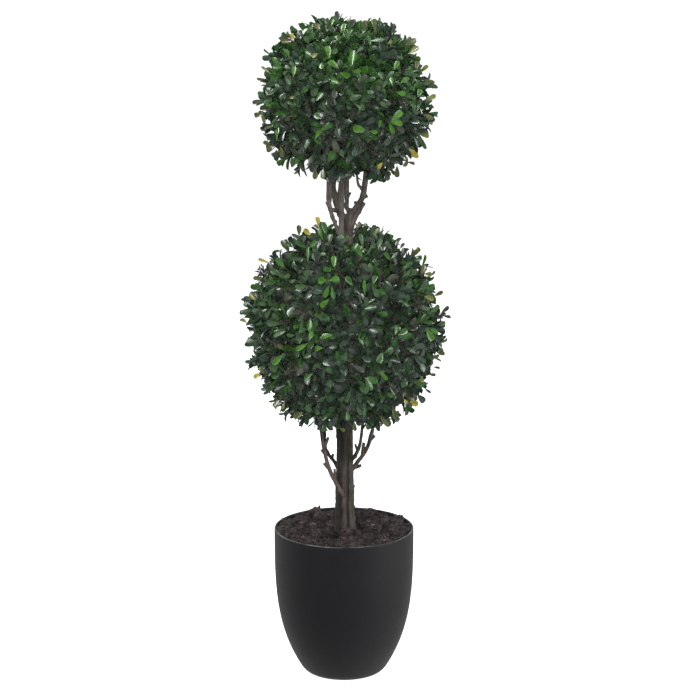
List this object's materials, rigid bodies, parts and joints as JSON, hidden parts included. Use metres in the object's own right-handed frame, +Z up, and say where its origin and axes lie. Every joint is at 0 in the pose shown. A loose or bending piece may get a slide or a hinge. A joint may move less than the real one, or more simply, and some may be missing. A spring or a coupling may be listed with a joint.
{
  "type": "artificial double ball topiary",
  "caption": "Artificial boxwood topiary: clipped leafy balls, one above the other, on a bundle of stems with side boughs, in a plain round pot that narrows to its foot.",
  "frame": {"origin": "centre of the pot's flat underside", "axes": "+Z up along the pot's axis; -Y is the plant's front, as pictured; +X is its right side"},
  "size_m": [0.2855, 0.2852, 0.914],
  "materials": {
    "pot": "matte",
    "mulch": "matte",
    "bark": "matte",
    "leaves": "satin"
  },
  "bodies": {
    "root": {"pot": "pot", "mulch": "mulch", "trunk": "bark", "left_stem": "bark", "right_stem": "bark", "back_stem": "bark", "lower_left_bough": "bark", "lower_left_inner_bough": "bark", "lower_right_bough": "bark", "lower_right_inner_bough": "bark", "upper_left_bough": "bark", "upper_right_stub": "bark", "upper_right_fork": "bark", "lower_ball": "leaves", "upper_ball": "leaves"}
  },
  "joints": []
}
